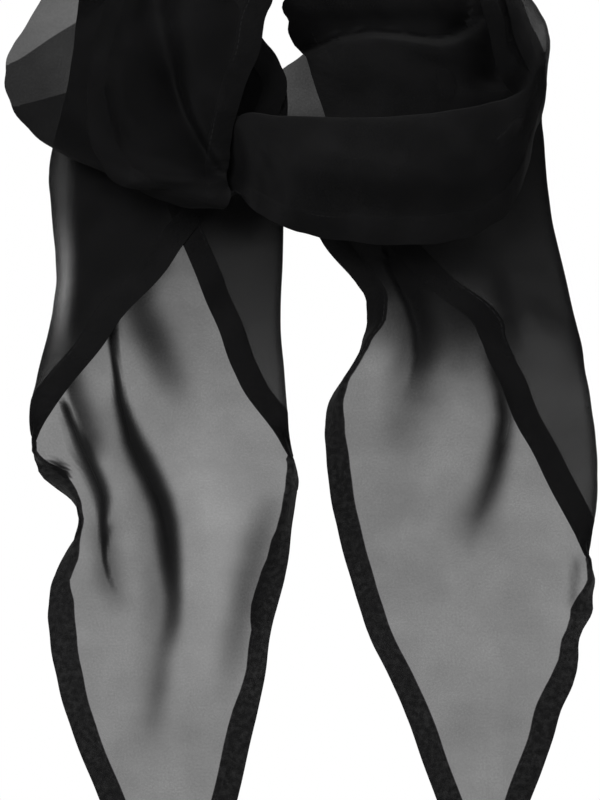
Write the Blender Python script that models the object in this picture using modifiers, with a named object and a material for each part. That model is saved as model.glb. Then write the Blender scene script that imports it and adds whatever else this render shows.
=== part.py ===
# Chiffon neck scarf, worn: one long pointed strip of cloth wound round an open neck.
# Its middle hangs in front as a cowl with a half twist, and both ends hang behind the cowl.
# The origin is the neck's centre, +Z up, and the front faces -Y.
# Every stretch is an open sheet in folded rows, given its wall by Solidify.

import math
from collections import namedtuple

import bmesh
import bpy
import numpy as np

# Driving dimensions, in millimetres.
WALL = 1.0  # a single ply
HEM_WALL = 1.5  # the double-turned hem
HEM_WIDTH = 10.0
PLY_STEP = 2.4  # between the middles of two plies that lie on each other
ROW_STEP = 10.5
LEAST_FLAP = 5.0  # a narrower one is left out, at the corner where it ends
CLOSED_FLAP = 16.0  # length from which a flap lies flat on the main ply
STACK_FROM = 8.0  # length from which a flap of several plies grows thicker
STACK_OVER = 14.0  # and the length that it takes to reach its whole thickness
HEM_SHARE = 0.45  # most of a flap that its hem may take
HEM_FADE = 20.0  # flap length from which its free edge has the whole hem wall
FOLD_WEIGHT = 0.6  # of the hem wall, kept at a folded edge
INNER_RADIUS = 60.0  # of the strands that lie on the neck
OUTER_RADIUS = 71.0  # of the strands wound over them
BAND_HEIGHT = 40.0  # of a strand at the side of the neck
NAPE_HEIGHT = 34.0  # of each of the two bands behind it
NAPE_RISE = 19.0  # how far the bands part, one up and one down
SEAM_ANGLE = 118.0  # degrees round from the front, where tails and cowl meet the nape
NEXT_ANGLE = 104.0  # the second row of a strand, still on the ring
SWELL = 1.5  # how far a strand on the ring bows out in its middle
ARCH_RUN = 0.4  # part of a nape band over which it parts from the other
SEAM_GAP = 0.3
MM = 0.001

# A row across a strand: its two edges and the middle of its face.
# inset is where the main ply starts, flap_a and flap_b where the turned-in flaps end, as parts of the width.
# tucks holds, for each lengthwise tuck, its place across and how far it is drawn in, from 0 to 1.
Row = namedtuple("Row", "a m b inset flap_a flap_b tucks")

# A soft trough or ridge along a line seen from the front: points (across, drop), depth and half width.
Crease = namedtuple("Crease", "depth width line")

# A lengthwise tuck, in section a Z of two arcs and a straight: its first column and how far it overlaps.
Tuck = namedtuple("Tuck", "first overlap")
TUCK_COLUMNS = 6
TUCK_FALL = 9.0  # how fast the rise beside a tuck dies away
TUCK_FIRST, TUCK_LAST = 0.12, 0.9  # a tuck keeps between these parts of the width
TUCK_ROOM = 0.25  # and takes no more than this part of it
TUCK_FULL = 0.25  # drawn in this far, it has its whole shape
CREASE_TAPER = 0.3  # part of a crease's length over which each end rises

# Columns of each strand and the side its flaps lie on.
Weave = namedtuple("Weave", "flap_a bend_a main bend_b flap_b side plies_a plies_b tucks")


def smooth(value):
    """Rises from 0 to 1 with level ends."""
    value = np.clip(value, 0.0, 1.0)
    return value * value * (3.0 - 2.0 * value)


def through(knots, values, at):
    """Cubic curve through the values at the knots, read at each number in at."""
    knots = np.asarray(knots, float)
    values = np.asarray(values, float).reshape(len(knots), -1)
    steps = np.diff(knots)[:, None]
    rises = np.diff(values, axis=0) / steps
    slopes = np.vstack([rises[:1], rises])
    slopes[1:-1] = (rises[:-1] * steps[1:] + rises[1:] * steps[:-1]) / (steps[1:] + steps[:-1])
    slopes[-1] = rises[-1]
    if len(knots) > 2:
        slopes[0] = rises[0] + (rises[0] - slopes[1])
        slopes[-1] = rises[-1] + (rises[-1] - slopes[-2])
    at = np.atleast_1d(np.asarray(at, float))
    i = np.clip(np.searchsorted(knots, at, side="right") - 1, 0, len(knots) - 2)
    step = steps[i]
    t = ((at - knots[i])[:, None]) / step
    start = values[i] + t * step * slopes[i]
    end = values[i + 1] - (1.0 - t) * step * slopes[i + 1]
    return start + (end - start) * t * t * (3.0 - 2.0 * t)


def read(table, at):
    """One column of a (drop, value) table at each drop."""
    return through([row[0] for row in table], [row[1:] for row in table], at)


def on_ring(angle, radius, height):
    """A point round the neck: 0 degrees is the front, positive angles pass the left side."""
    turn = math.radians(angle)
    return (-radius * math.sin(turn), -radius * math.cos(turn), height)


def ring_row(angle, radius, start, end, flap_a, flap_b, tucks=()):
    """A row that stands on a ring round the neck, from one height to another."""
    middle = on_ring(angle, radius + SWELL, (start + end) / 2.0)
    a = on_ring(angle, radius, start)
    b = on_ring(angle, radius, end)
    return Row(a, middle, b, 0.0, flap_a, flap_b, tucks)


def hanging_rows(drops, sides, depths, flap_a, flap_b, tucks):
    """Level rows of a tail, read from tables of (drop, across or depth)."""
    rows = []
    for drop in drops:
        left, right = read(sides[0], drop)[0, 0], read(sides[1], drop)[0, 0]
        back_left, back_middle, back_right = read(depths, drop)[0]
        width = right - left
        hems = [0.0, 1.0]
        for end, table in enumerate((flap_a, flap_b)):
            if table and drop < table[-1][0]:
                hems[end] = float(np.clip((read(table, drop)[0, 0] - left) / width, 0.0, 1.0))
        drawn = []
        for table in tucks:
            across, depth = read(table, np.clip(drop, table[0][0], table[-1][0]))[0]
            part = np.clip((across - left) / width, TUCK_FIRST, TUCK_LAST)
            drawn.append((part, max(depth, 0.0)))
        a = (left, back_left, -drop)
        m = ((left + right) / 2.0, back_middle, -drop)
        b = (right, back_right, -drop)
        rows.append(Row(a, m, b, 0.0, hems[0], hems[1], tuple(drawn)))
    return rows


def as_numbers(row):
    tucks = [value for tuck in row.tucks for value in tuck]
    return [*row.a, *row.m, *row.b, row.inset, row.flap_a, row.flap_b, *tucks]


def even_rows(rows, step):
    """The rows read again at even steps along the strand."""
    table = np.array([as_numbers(row) for row in rows])
    middle = (table[:, 0:3] + table[:, 3:6] + table[:, 6:9]) / 3.0
    along = np.concatenate([[0.0], np.cumsum(np.linalg.norm(np.diff(middle, axis=0), axis=1))])
    count = max(2, round(along[-1] / step)) + 1
    return through(along, table, np.linspace(0.0, along[-1], count))


def base_point(row, part):
    """The curve through a row's two edges and its middle, at each part of the width."""
    part = part[:, None]
    a, m, b = row[0:3], row[3:6], row[6:9]
    return a * (1 - part) * (1 - 2 * part) + m * 4 * part * (1 - part) + b * part * (2 * part - 1)


def flap_profile(length, plies, bend_columns, flap_columns):
    """Turned-in flap in section, as (inward, up) pairs from the bend's foot to the hem.

    The bend opens out towards the corner where the flap ends."""
    if length < LEAST_FLAP:
        length = 0.0
    stack = 1.0 + (plies - 1.0) * float(smooth((length - STACK_FROM) / STACK_OVER))
    radius = stack * PLY_STEP / 2.0
    turn = math.pi * float(smooth(length / CLOSED_FLAP))
    foot = radius * math.sin(min(turn, math.pi / 2.0))
    angles = turn * np.arange(1, bend_columns + 1) / bend_columns
    inward = list(foot - radius * np.sin(angles))
    up = list(radius * (1.0 - np.cos(angles)))
    run = max(length - foot, 0.0)
    hem = min(HEM_WIDTH / max(length, LEAST_FLAP), HEM_SHARE)
    stops = np.append(np.linspace(0.0, 1.0 - hem, flap_columns)[1:], 1.0)
    for stop in stops:
        inward.append(inward[bend_columns - 1] - run * stop * math.cos(turn))
        up.append(up[bend_columns - 1] + run * stop * math.sin(turn))
    return foot, np.array(inward), np.array(up)


def tuck_profile(drawn, overlap):
    """Section of a tuck about its middle: level at 0, upright half way and lying back on itself at 1."""
    radius = PLY_STEP / 2.0
    turn = math.pi * float(smooth(drawn))
    half = turn / 2.0
    arc = np.array([
        (0.0, 0.0),
        (radius * math.sin(half), radius * (1.0 - math.cos(half))),
        (radius * math.sin(turn), radius * (1.0 - math.cos(turn))),
    ])
    back = np.array([math.cos(turn), math.sin(turn)]) * (1.0 + overlap * drawn)
    far = 2.0 * arc[2] + back - arc[::-1]
    shape = np.vstack([arc, far])
    shape[:, 0] -= (shape[2, 0] + shape[3, 0]) / 2.0
    level = np.linspace(-overlap / 2.0, overlap / 2.0, TUCK_COLUMNS)
    shown = min(1.0, drawn / TUCK_FULL)
    return level + (shape[:, 0] - level) * shown, shape[:, 1] * shown


def row_profile(row, weave):
    """A whole row in section: inward from edge a, up from the main ply, and 1 where it is hem."""
    width = np.linalg.norm(row[6:9] - row[0:3])
    inset, flap_a, flap_b = row[9] * width, row[10] * width, (1.0 - row[11]) * width
    across, up, hem = [], [], []
    start, end = inset, width
    if weave.flap_a:
        start, inward, rise = flap_profile(flap_a, weave.plies_a, weave.bend_a, weave.flap_a)
        across.extend(inward[::-1])
        up.extend(weave.side * rise[::-1])
        hem.extend([float(smooth(flap_a / HEM_FADE))] + [0.0] * (len(inward) - 1))
    if weave.flap_b:
        foot, inward, rise = flap_profile(flap_b, weave.plies_b, weave.bend_b, weave.flap_b)
        end = width - foot
    columns = np.arange(weave.main)
    anchors = [(0, start), (weave.main - 1, end)]
    drawn_in = []
    for index, tuck in enumerate(weave.tucks):
        centre = start + (end - start) * row[12 + 2 * index]
        room = (end - start) * TUCK_ROOM
        places, levels = tuck_profile(row[13 + 2 * index], min(tuck.overlap, room))
        anchors.append((tuck.first, centre + places[0]))
        anchors.append((tuck.first + TUCK_COLUMNS - 1, centre + places[-1]))
        drawn_in.append((tuck.first, centre + places, levels))
    anchors.sort()
    main = np.interp(columns, [anchor[0] for anchor in anchors], [anchor[1] for anchor in anchors])
    height = np.zeros(weave.main)
    for first, places, levels in drawn_in:
        last = first + TUCK_COLUMNS - 1
        main[first : last + 1] = places
        # A tuck rises away from the side that the flaps lie on.
        lift = levels - (levels[-1] if weave.side > 0 else 0.0)
        height[first : last + 1] += lift
        beside = np.maximum(np.maximum(places.min() - main, main - places.max()) - PLY_STEP, 0.0)
        ends = np.where(columns < first, lift[0], lift[-1])
        outside = (columns < first) | (columns > last)
        height += np.where(outside, ends * np.exp(-beside / TUCK_FALL), 0.0)
    across.extend(main)
    up.extend(height)
    edges = np.where(np.minimum(main - start, end - main) < WALL, FOLD_WEIGHT, 0.0)
    if not weave.flap_a:
        edges[0] = 1.0
    if not weave.flap_b:
        edges[-1] = 1.0
    hem.extend(edges)
    if weave.flap_b:
        across.extend(width - inward)
        up.extend(weave.side * rise)
        hem.extend([0.0] * (len(inward) - 1) + [float(smooth(flap_b / HEM_FADE))])
    return width, np.array(across), np.array(up), np.array(hem)


def crease_relief(points, creases):
    """Rise of the sheet at each point from the troughs and ridges near it, seen from the front."""
    relief = np.zeros(points.shape[:-1])
    spot = np.stack([points[..., 0], -points[..., 2]], axis=-1)
    for crease in creases:
        line = np.array(crease.line, float)
        runs = np.linalg.norm(np.diff(line, axis=0), axis=1)
        before = np.concatenate([[0.0], np.cumsum(runs)])
        nearest = np.full(relief.shape, 1e9)
        taper = np.zeros(relief.shape)
        for start, end, run, walked in zip(line[:-1], line[1:], runs, before):
            t = np.clip(((spot - start) @ (end - start)) / run**2, 0.0, 1.0)
            gap = np.linalg.norm(spot - start - t[..., None] * (end - start), axis=-1)
            along = (walked + t * run) / before[-1]
            closer = gap < nearest
            nearest = np.where(closer, gap, nearest)
            taper = np.where(closer, smooth(np.minimum(along, 1.0 - along) / CREASE_TAPER), taper)
        relief += crease.depth * taper * np.exp(-((nearest / crease.width) ** 2))
    return relief


def sheet(rows, weave, creases=()):
    """Grid of points of a folded strand, and how much of each point is hem."""
    sections = [row_profile(row, weave) for row in rows]
    base = np.array([base_point(row, s[1] / s[0]) for row, s in zip(rows, sections)])
    small = 0.02
    ahead = np.array([base_point(row, s[1] / s[0] + small) for row, s in zip(rows, sections)])
    across = ahead - base
    # The main ply's own rows give the direction along the strand, so that flaps follow it.
    parts = np.linspace(0.0, 1.0, 9)
    face = np.array([base_point(row, parts) for row in rows])
    along = np.gradient(face, axis=0, edge_order=2)
    down = np.empty_like(base)
    for i, section in enumerate(sections):
        part = np.clip(section[1] / section[0], 0.0, 1.0)
        for axis in range(3):
            down[i, :, axis] = np.interp(part, parts, along[i, :, axis])
    normal = np.cross(down, across)
    normal /= np.linalg.norm(normal, axis=-1, keepdims=True)
    rise = np.array([s[2] for s in sections]) + crease_relief(base, creases)
    return base + normal * rise[..., None], np.array([s[3] for s in sections])


def black_chiffon(name):
    material = bpy.data.materials.new(name)
    material.use_nodes = True
    shader = material.node_tree.nodes["Principled BSDF"]
    shader.inputs["Base Color"].default_value = (0.012, 0.012, 0.013, 1.0)
    shader.inputs["Roughness"].default_value = 0.7
    shader.inputs["Metallic"].default_value = 0.0
    return material


def add_strand(name, points, hem):
    """Turns a grid of points into an object whose wall is thicker along the hem."""
    count, columns = hem.shape
    mesh = bpy.data.meshes.new(name)
    work = bmesh.new()
    weights = work.verts.layers.deform.verify()
    corners = []
    for point, weight in zip(points.reshape(-1, 3) * MM, hem.reshape(-1)):
        vertex = work.verts.new(point)
        vertex[weights][0] = float(weight)
        corners.append(vertex)
    for i in range(count - 1):
        for j in range(columns - 1):
            k = i * columns + j
            work.faces.new((corners[k], corners[k + 1], corners[k + columns + 1], corners[k + columns]))
    bmesh.ops.remove_doubles(work, verts=work.verts, dist=0.00008)
    bmesh.ops.dissolve_degenerate(work, edges=work.edges, dist=0.00005)
    bmesh.ops.triangulate(work, faces=work.faces)
    work.to_mesh(mesh)
    work.free()
    mesh.shade_smooth()
    strand = bpy.data.objects.new(name, mesh)
    strand.vertex_groups.new(name="wall")
    mesh.materials.append(black_chiffon(name + "_chiffon"))
    bpy.data.collections["chiffon_scarf"].objects.link(strand)
    wall = strand.modifiers.new("wall", "SOLIDIFY")
    wall.thickness = HEM_WALL * MM
    wall.offset = 0.0
    wall.vertex_group = "wall"
    wall.thickness_vertex_group = WALL / HEM_WALL
    return strand


# Tails: outlines, flap hems and depths as (drop below the neck's centre, across or depth).
LEFT_TAIL_LEFT = (
    (54, -77), (78, -81), (98, -86), (114, -90), (134, -91), (160, -89), (174, -89.6), (186, -92),
    (207, -97.6), (222, -100), (239, -98), (246, -93), (256, -83), (265, -81.5), (272, -85),
    (281, -89), (295, -93), (307, -92), (324, -89), (344, -84), (370, -74), (410, -58.5), (450, -45),
)
LEFT_TAIL_RIGHT = (
    (54, -19), (62, -13), (70, -7), (81, 0.5), (100, 2.8), (122, 2), (160, 1), (178, 0), (202, 1.6),
    (230, 3.6), (243, 6.8), (254, 6), (284, 2), (306, -3.6), (334, -8), (350, -11.6), (374, -17.2),
    (412, -29), (450, -42),
)
LEFT_FLAP_HEM = (
    (54, -22), (70, -9), (100, -1), (120, -14), (153, -39), (168, -50), (176, -58), (191, -69),
    (210, -85), (220, -92), (232, -99.5),
)
RIGHT_FLAP_HEM = (
    (54, -58), (100, -58), (125, -50), (152, -39), (174, -32), (196, -23), (210, -15), (222, -6),
    (233, 1.2), (242, 6.6),
)
LEFT_TAIL_DEPTH = (
    (54, -48, -62, -61), (98, -57, -66, -64), (134, -62, -68, -65), (180, -69, -74, -69),
    (240, -73, -79, -74), (300, -74, -81, -76), (450, -76, -77, -76),
)
RIGHT_TAIL_LEFT = (
    (54, 1), (68, 1.5), (81, 0.8), (92, 0.6), (101, 1.4), (118, 4), (136, 9), (149, 16), (161, 26),
    (168, 31.5), (178, 34.8), (188, 34), (198, 30.8), (206, 26), (214, 21.2), (222, 18.8),
    (234, 18.4), (246, 20), (265, 23.2), (284, 27.6), (298, 31.6), (319, 40.8), (342, 51),
    (372, 62), (400, 72), (426, 80),
)
RIGHT_TAIL_RIGHT = (
    (54, 87), (68, 98), (81, 103), (94, 106), (118, 106), (134, 107.6), (152, 110.4), (170, 115),
    (184, 118), (200, 122), (218, 125), (240, 126.5), (258, 126), (272, 124.4), (284, 126.8),
    (294, 125.6), (305, 121.2), (318, 120), (336, 113.2), (359, 106), (374, 100.4), (400, 92),
    (426, 83),
)
RIGHT_TAIL_FLAP_HEM = (
    (54, 2), (64, 3), (75, 9), (84, 13), (96, 17), (128, 30), (159, 50), (174, 66), (180, 74),
    (188, 79), (206, 87), (224, 94.4), (246, 106), (266, 116.4), (280, 125.5),
)
RIGHT_TAIL_DEPTH = (
    (54, -60, -66, -46), (81, -57, -67, -53), (101, -58, -68, -56), (134, -64, -72, -62),
    (180, -70, -78, -68), (240, -73, -82, -72), (300, -75, -82, -75), (426, -76, -77, -76),
)

# Tucks of the left tail: (drop, across, how far it is drawn in).
LONG_TUCK = (
    (54, -40, 0.0), (150, -63, 0.0), (188, -69, 0.0), (206, -64, 0.6), (234, -56, 1.0),
    (266, -46, 1.0), (296, -43, 0.9), (316, -45, 0.35), (334, -47, 0.0), (372, -42, 0.0),
    (410, -40, 0.0), (450, -43, 0.0),
)
SHORT_TUCK = (
    (54, -64, 0.0), (150, -84, 0.0), (192, -88, 0.0), (206, -87, 0.1), (226, -82, 0.8), (248, -75, 0.8),
    (262, -71.5, 0.3), (276, -70, 0.0), (290, -70, 0.0), (330, -70, 0.0), (372, -60, 0.0), (410, -51, 0.0),
    (450, -44.3, 0.0),
)
# Tuck of the right tail.
SIDE_TUCK = (
    (54, 60, 0.0), (196, 90, 0.0), (210, 90, 0.3), (230, 91, 0.9), (246, 88, 0.7), (268, 77, 0.0),
    (426, 81, 0.0),
)

LEFT_TAIL_CREASES = (
    Crease(-2.2, 7.0, ((-56, 176), (-47, 198), (-32, 224))),
    Crease(1.8, 9.0, ((-30, 230), (-24, 270), (-28, 320))),
    Crease(-1.6, 8.0, ((-8, 240), (-14, 290), (-22, 350))),
    Crease(1.6, 8.0, ((-88, 120), (-84, 160), (-90, 200))),
)
RIGHT_TAIL_CREASES = (
    Crease(-3.2, 6.0, ((30, 136), (48, 162), (55, 182), (54, 200), (48, 220))),
    Crease(2.4, 8.0, ((66, 176), (70, 210), (62, 262))),
    Crease(1.8, 7.0, ((88, 262), (86, 300), (84, 350))),
    Crease(-2.0, 6.0, ((116, 284), (113, 300), (108, 318))),
    Crease(1.6, 10.0, ((12, 77), (30, 68), (56, 67), (72, 64), (80, 56))),
)


def left_tail_rows():
    low, high = -BAND_HEIGHT / 2.0, BAND_HEIGHT / 2.0
    still = ((0.5, 0.0), (0.25, 0.0))
    rows = [
        ring_row(SEAM_ANGLE, INNER_RADIUS, low, high, 0.55, 0.5, still),
        ring_row(NEXT_ANGLE, INNER_RADIUS, low, high, 0.55, 0.5, still),
        Row((-66, -14, -28), (-64, -18, -8), (-57, -18, 11), 0.0, 0.6, 0.48, still),
        Row((-73, -31, -38), (-64, -37, -22), (-49, -38, -6), 0.0, 0.7, 0.44, still),
        Row((-74, -40, -45), (-58, -51, -38), (-33, -53, -30), 0.0, 0.82, 0.4, still),
    ]
    drops = [54, 66, 81, 100, 122, 140, 160, 180, 200, 222, 234, 245, 256, 265, 273, 284, 300, 320]
    drops += [344, 372, 405, 436, 449]
    tables = (LEFT_TAIL_LEFT, LEFT_TAIL_RIGHT), LEFT_TAIL_DEPTH
    return rows + hanging_rows(drops, *tables, LEFT_FLAP_HEM, RIGHT_FLAP_HEM, (LONG_TUCK, SHORT_TUCK))


def right_tail_rows():
    low, high = -BAND_HEIGHT / 2.0, BAND_HEIGHT / 2.0
    still = ((0.6, 0.0),)
    rows = [
        ring_row(-SEAM_ANGLE, INNER_RADIUS, high, low, 0.0, 0.3, still),
        ring_row(-NEXT_ANGLE, INNER_RADIUS, high, low, 0.0, 0.28, still),
        Row((58, -18, 11), (67, -18, -8), (70, -14, -28), 0.04, 0.0, 0.24, still),
        Row((47, -40, -8), (66, -38, -24), (77, -30, -40), 0.1, 0.0, 0.18, still),
        Row((26, -55, -34), (60, -54, -42), (83, -38, -49), 0.18, 0.0, 0.1, still),
    ]
    drops = [54, 64, 75, 86, 100, 118, 136, 149, 161, 170, 180, 190, 200, 210, 222, 240, 258, 272]
    drops += [284, 300, 320, 344, 372, 400, 425]
    tables = (RIGHT_TAIL_LEFT, RIGHT_TAIL_RIGHT), RIGHT_TAIL_DEPTH
    hung = hanging_rows(drops, *tables, (), RIGHT_TAIL_FLAP_HEM, (SIDE_TUCK,))
    insets = {54: 0.24, 64: 0.18, 75: 0.07}
    return rows + [row._replace(inset=insets.get(drop, 0.0)) for drop, row in zip(drops, hung)]


def cowl_left_rows():
    """From the left side of the neck to the half twist: a is the outer, lower edge."""
    low, high = -BAND_HEIGHT / 2.0, BAND_HEIGHT / 2.0
    return [
        ring_row(SEAM_ANGLE, OUTER_RADIUS, low, high, 0.4, 1.0, ((0.4, 0.5),)),
        ring_row(NEXT_ANGLE, OUTER_RADIUS, low, high, 0.4, 1.0, ((0.4, 0.5),)),
        Row((-81, -10, -25), (-79, -18, -5), (-68, -20, 15), 0.0, 0.3, 1.0, ((0.38, 0.6),)),
        Row((-88, -26, -36), (-80, -44, -20), (-50, -56, 2), 0.0, 0.24, 1.0, ((0.36, 0.7),)),
        Row((-93, -38, -46), (-66, -70, -34), (-22, -76, -20), 0.0, 0.16, 1.0, ((0.34, 0.8),)),
        Row((-96, -46, -55), (-52, -84, -52), (-3, -85, -54), 0.0, 0.1, 1.0, ((0.32, 0.9),)),
        Row((-107, -58, -73), (-58, -88, -72), (-8, -87, -73), 0.0, 0.1, 1.0, ((0.35, 1.0),)),
        Row((-109.5, -64, -83), (-60, -90, -82), (-12, -87, -83), 0.0, 0.18, 1.0, ((0.35, 1.0),)),
        Row((-108, -68, -94), (-60, -91, -95), (-15.5, -88, -93), 0.0, 0.26, 1.0, ((0.335, 1.0),)),
        Row((-101, -72, -105), (-58, -92, -108), (-18, -88, -102), 0.0, 0.3, 1.0, ((0.3, 0.9),)),
        Row((-90, -76, -114), (-54, -93, -118), (-19.5, -88.5, -110), 0.0, 0.34, 1.0, ((0.27, 0.7),)),
        Row((-76, -80, -121), (-47, -94, -124), (-20.5, -89, -118), 0.0, 0.3, 1.0, ((0.25, 0.4),)),
        Row((-64, -82, -126), (-40, -94, -128), (-21, -89, -123), 0.0, 0.2, 1.0, ((0.25, 0.15),)),
        Row((-46, -84, -135), (-32, -94, -133), (-21, -90, -127), 0.0, 0.1, 1.0, ((0.3, 0.0),)),
        Row((-26, -82, -136), (-22, -91, -137), (-19, -93, -131), 0.0, 0.0, 1.0, ((0.4, 0.0),)),
    ]


def cowl_right_rows():
    """From the half twist across the front, round the right side and up to the neck."""
    low, high = -BAND_HEIGHT / 2.0, BAND_HEIGHT / 2.0
    return [
        Row((-25.4, -82, -136), (-21.4, -90.5, -137), (-18.4, -93, -131), 0.0, 0.0, 1.0, ()),
        Row((-19, -82, -129), (-15, -88.5, -132.5), (-12, -95, -133), 0.0, 0.0, 1.0, ()),
        Row((-14, -82, -117), (-9, -90, -126), (-7, -95, -137), 0.0, 0.0, 1.0, ()),
        Row((-12, -84, -106), (-6, -94, -122), (-5, -97, -140.5), 0.0, 0.16, 1.0, ()),
        Row((-6, -86, -101), (-1, -97, -122), (0, -98, -143.5), 0.0, 0.3, 1.0, ()),
        Row((6, -88, -100), (8, -100, -124), (10, -98, -147), 0.0, 0.46, 1.0, ()),
        Row((28, -91, -101), (28, -102, -126), (28, -97, -150.5), 0.0, 0.6, 1.0, ()),
        Row((52, -91, -100), (52, -102, -126), (52, -95, -151.5), 0.0, 0.6, 1.0, ()),
        Row((68, -89, -98), (69, -99, -124), (70, -92, -149.5), 0.0, 0.58, 1.0, ()),
        Row((84, -86, -95), (84, -95, -120), (84, -89, -144), 0.0, 0.55, 1.0, ()),
        Row((94, -84, -91.5), (94, -91, -112), (93, -86, -135), 0.0, 0.55, 1.0, ()),
        Row((101, -82, -87), (101, -87, -104), (99, -82, -123), 0.0, 0.6, 1.0, ()),
        Row((105.5, -78, -81), (106.5, -80, -94), (103.5, -78, -108), 0.0, 0.7, 1.0, ()),
        Row((107.5, -72, -74), (108.5, -73, -84), (105, -72, -98), 0.0, 0.76, 1.0, ()),
        Row((107.5, -64, -67), (104, -67, -79), (97, -67, -94), 0.0, 0.7, 1.0, ()),
        Row((105, -57, -60), (98, -65, -72), (89, -69, -86), 0.0, 0.62, 1.0, ()),
        Row((100, -48, -53), (93, -61, -60), (84, -70, -68), 0.0, 0.6, 1.0, ()),
        Row((94, -36, -44), (88, -52, -46), (78, -64, -46), 0.0, 0.56, 1.0, ()),
        Row((87, -22, -35), (84, -34, -26), (75, -46, -16), 0.0, 0.5, 1.0, ()),
        Row((80, -5, -26), (79, -12, -6), (73, -18, 12), 0.0, 0.44, 1.0, ()),
        ring_row(-NEXT_ANGLE, OUTER_RADIUS, low, high, 0.42, 1.0),
        ring_row(-SEAM_ANGLE, OUTER_RADIUS, low, high, 0.4, 1.0),
    ]


def nape_rows(lift, radius_left, radius_right):
    """A band behind the neck, left to right, lifted or dropped where the bands cross."""
    gap_angle = math.degrees(SEAM_GAP / INNER_RADIUS)
    sweep = np.linspace(0.0, 1.0, 9)
    rows = []
    for part in sweep:
        angle = SEAM_ANGLE + gap_angle + part * (360.0 - 2.0 * (SEAM_ANGLE + gap_angle))
        arch = float(smooth(min(part, 1.0 - part) / ARCH_RUN))
        radius = radius_left + (radius_right - radius_left) * float(smooth(part))
        height = BAND_HEIGHT + (NAPE_HEIGHT - BAND_HEIGHT) * arch
        middle = lift * arch
        tuck = ((0.5, 0.4 * float(smooth((math.sin(math.pi * part) - 0.8) / 0.2))),)
        rows.append(ring_row(angle, radius, middle + height / 2.0, middle - height / 2.0, 0.4, 0.66, tuck))
    return rows


def main():
    for leftover in list(bpy.data.objects):
        bpy.data.objects.remove(leftover)
    scarf = bpy.data.collections.new("chiffon_scarf")
    bpy.context.scene.collection.children.link(scarf)

    long_tuck = Tuck(first=9, overlap=7.0)
    short_tuck = Tuck(first=2, overlap=2.5)
    weave = Weave(5, 3, 20, 3, 5, 1.0, 2, 1, (long_tuck, short_tuck))
    add_strand("left_tail", *sheet(even_rows(left_tail_rows(), ROW_STEP), weave, LEFT_TAIL_CREASES))

    side_tuck = Tuck(first=5, overlap=3.0)
    weave = Weave(0, 0, 15, 3, 6, 1.0, 0, 1, (side_tuck,))
    add_strand("right_tail", *sheet(even_rows(right_tail_rows(), ROW_STEP), weave, RIGHT_TAIL_CREASES))

    fold = Tuck(first=3, overlap=10.0)
    weave = Weave(3, 3, 16, 0, 0, -1.0, 1, 0, (fold,))
    add_strand("cowl_left", *sheet(even_rows(cowl_left_rows(), ROW_STEP), weave))

    weave = Weave(5, 3, 11, 0, 0, 1.0, 1, 0, ())
    add_strand("cowl_right", *sheet(even_rows(cowl_right_rows(), ROW_STEP), weave))

    crossing = Tuck(first=2, overlap=3.0)
    weave = Weave(3, 3, 10, 3, 3, -1.0, 1, 1, (crossing,))
    upper = nape_rows(NAPE_RISE, INNER_RADIUS, OUTER_RADIUS)
    lower = nape_rows(-NAPE_RISE, OUTER_RADIUS, INNER_RADIUS)
    add_strand("nape_upper", *sheet(even_rows(upper, ROW_STEP), weave))
    add_strand("nape_lower", *sheet(even_rows(lower, ROW_STEP), weave))


main()
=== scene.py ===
import math

import bmesh
import bpy
import numpy as np
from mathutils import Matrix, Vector


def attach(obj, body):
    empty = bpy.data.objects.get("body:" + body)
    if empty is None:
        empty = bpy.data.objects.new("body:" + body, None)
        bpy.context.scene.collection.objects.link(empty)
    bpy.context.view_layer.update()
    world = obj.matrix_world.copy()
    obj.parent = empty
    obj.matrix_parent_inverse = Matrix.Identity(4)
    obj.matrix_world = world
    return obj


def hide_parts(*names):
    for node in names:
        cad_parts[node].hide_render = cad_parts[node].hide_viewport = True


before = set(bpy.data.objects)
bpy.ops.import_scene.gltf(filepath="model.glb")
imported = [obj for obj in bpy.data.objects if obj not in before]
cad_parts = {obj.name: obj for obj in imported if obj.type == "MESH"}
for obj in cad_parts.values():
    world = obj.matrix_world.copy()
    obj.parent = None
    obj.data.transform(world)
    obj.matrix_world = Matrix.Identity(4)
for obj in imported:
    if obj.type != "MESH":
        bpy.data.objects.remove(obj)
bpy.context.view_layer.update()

# Chiffon neck scarf, worn: one long pointed strip, in six stretches that meet round the neck.
# Lengths are in millimetres until a mesh is made. Outlines are (drop below the neck's centre, across) in
# the outline plane, as the camera sees them.
mm = 0.001

view = {
    "place": (8, -1680, -214),
    "outlinePlane": -80,
    "lens": 180,
    "sensor": 36,
    "clipEnd": 50,
}

cloth = {
    "wall": 0.2,
    "hemWall": 0.5,
    "rowStep": 1.7,
    "ahead": 0.02,  # part of the width over which a row's direction is taken
    "plyStep": 1.3,  # between the middles of two plies that lie on each other
    "leastDense": 0.3,
    "leastFlap": 1.5,
    "mostFlap": 1.3,  # as a part of the width
    "flapBend": 5,  # flap length that has the whole bend
    "stack": (8, 14),  # a flap of two plies thickens from this length, over this length
    "coverFade": 4,
    "foldFrom": 6,  # flap length with a whole dark line at its fold
    "foldWidth": 2.2,
    "foldShade": 0.45,
    "tuckReach": (0.1, 0.9),  # parts of the width that a tuck stays between
    "tuckUpright": 4,  # a tuck has its whole height once a quarter of it is drawn in
    "tuckMargin": 0.6,
    "tuckBeside": 1.5,
    "tuckFall": 7,  # how fast the rise beside a tuck dies away
    "hemWidth": 10.5,
    "hemColumns": 7,
    "hemBend": 3.5,
    "hemTurns": (0.02, 2, 100),  # least and most turn of a hem, and how many are tried
    "hemSpots": 43,
    "bareUntil": 8,  # flap length from which no hem is bare
    "flapHem": 1.08,  # a hem shows this much narrower on a turned-in flap
    "flapHemFade": (3, 6),
    "hemRows": 9,  # rows over which a hem's slant is averaged
    "far": 100,
    "weld": 0.02,
    "leastEdge": 0.01,
    "sharpAngle": 55,
}

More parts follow.
